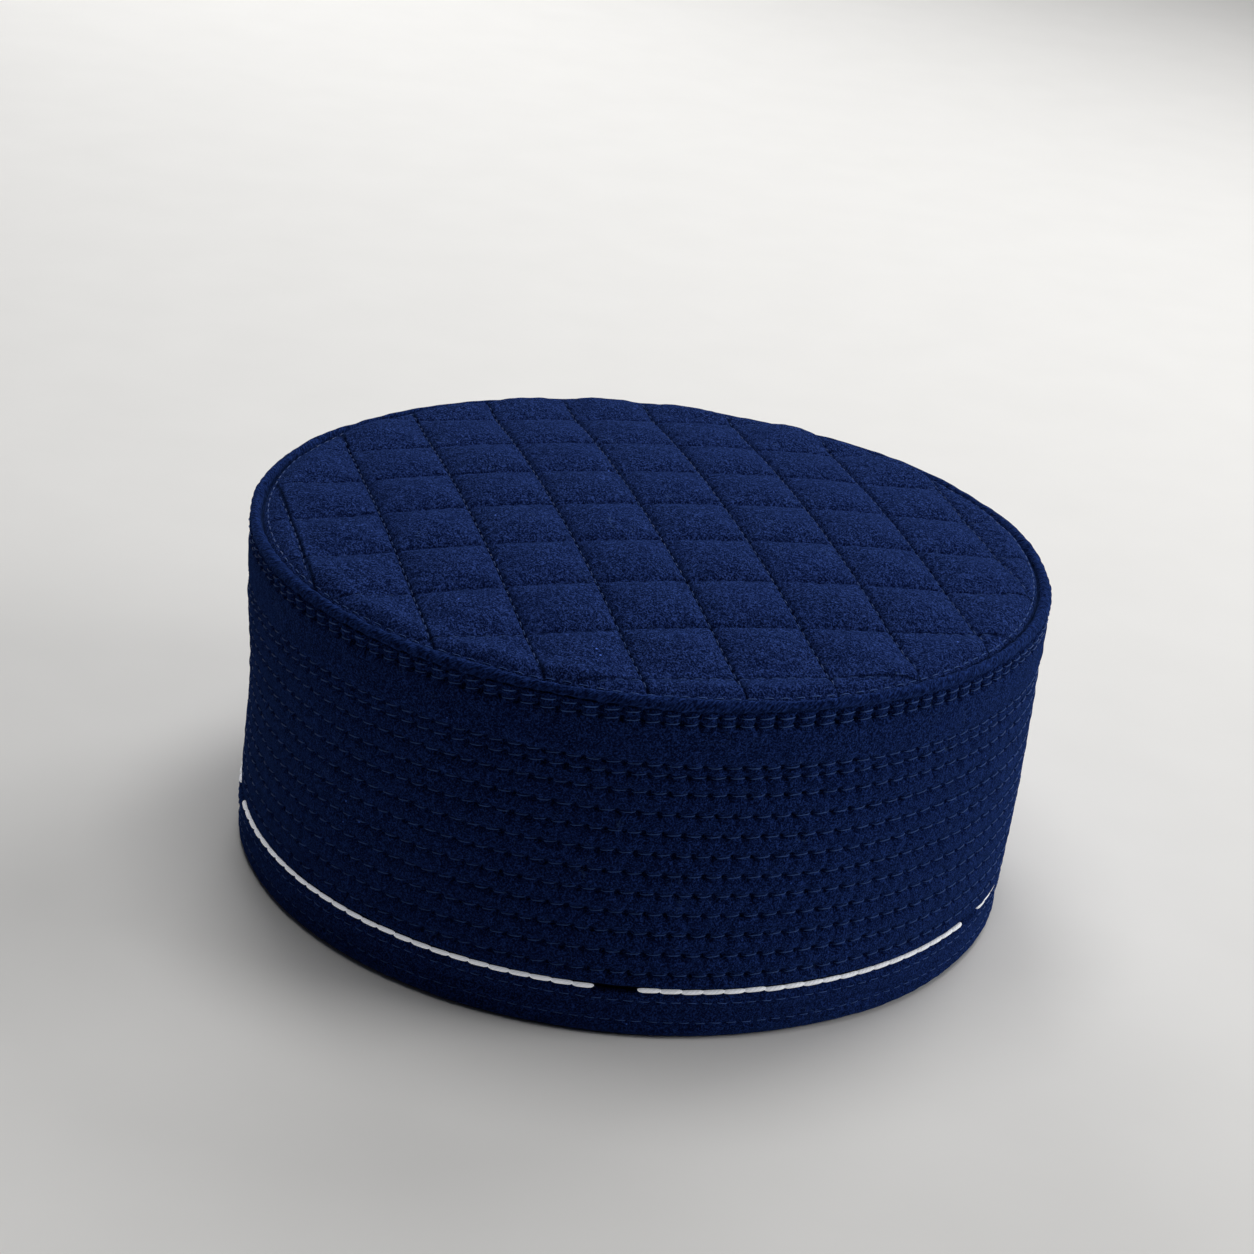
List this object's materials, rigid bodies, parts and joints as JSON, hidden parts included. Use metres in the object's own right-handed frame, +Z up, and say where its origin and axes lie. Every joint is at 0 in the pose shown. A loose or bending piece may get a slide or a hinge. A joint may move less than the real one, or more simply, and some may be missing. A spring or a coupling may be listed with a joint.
{
  "type": "quilted brimless cap",
  "caption": "Round brimless cap with a quilted domed crown, a piped rim, a straight side band sewn in close rows, and a turned hem under a broken white trim line.",
  "frame": {"origin": "centre of the hem's lower edge, at the bottom of the cap", "axes": "+Z up through the crown's centre, -Y the front, +X to the right seen from the front"},
  "size_m": [0.1966, 0.1966, 0.0918],
  "materials": {
    "navy_felt": "napped wool felt, matt with a soft bluish sheen",
    "navy_binding": "folded twill, matt",
    "navy_thread": "spun sewing thread, slight sheen",
    "white_trim": "mercerised cord, slight sheen",
    "navy_lining": "smooth woven lining, slight sheen",
    "sweatband_cloth": "ribbed grosgrain, matt",
    "stiffener_canvas": "buckram, matt",
    "wadding": "needled wadding, matt",
    "piping_filler": "braided cotton, matt"
  },
  "bodies": {
    "root": {"back_seam_thread": "navy_thread", "band_stitch_01": "navy_thread", "band_stitch_02": "navy_thread", "band_stitch_03": "navy_thread", "band_stitch_04": "navy_thread", "band_stitch_05": "navy_thread", "band_stitch_06": "navy_thread", "band_stitch_07": "navy_thread", "band_stitch_08": "navy_thread", "band_stitch_09": "navy_thread", "band_stitch_10": "navy_thread", "band_stitch_11": "navy_thread", "band_stitch_12": "navy_thread", "crown_edge_stitch": "navy_thread", "crown_face": "navy_felt", "crown_lining": "navy_lining", "crown_wadding": "wadding", "hem_binding": "navy_binding", "hem_stitch_1": "navy_thread", "hem_stitch_2": "navy_thread", "piping_cord": "piping_filler", "piping_cover": "navy_binding", "quilt_stitch_a1": "navy_thread", "quilt_stitch_a2": "navy_thread", "quilt_stitch_a3": "navy_thread", "quilt_stitch_a4": "navy_thread", "quilt_stitch_a5": "navy_thread", "quilt_stitch_a6": "navy_thread", "quilt_stitch_a7": "navy_thread", "quilt_stitch_a8": "navy_thread", "quilt_stitch_a9": "navy_thread", "quilt_stitch_b1": "navy_thread", "quilt_stitch_b2": "navy_thread", "quilt_stitch_b3": "navy_thread", "quilt_stitch_b4": "navy_thread", "quilt_stitch_b5": "navy_thread", "quilt_stitch_b6": "navy_thread", "quilt_stitch_b7": "navy_thread", "quilt_stitch_b8": "navy_thread", "rim_stitch_1": "navy_thread", "rim_stitch_2": "navy_thread", "side_face": "navy_felt", "side_lining": "navy_lining", "side_stiffener": "stiffener_canvas", "sweatband": "sweatband_cloth", "sweatband_stitch": "navy_thread", "trim_cord_1": "white_trim", "trim_cord_2": "white_trim", "trim_cord_3": "white_trim", "trim_cord_4": "white_trim", "trim_cord_5": "white_trim", "trim_cord_6": "white_trim"}
  },
  "joints": []
}
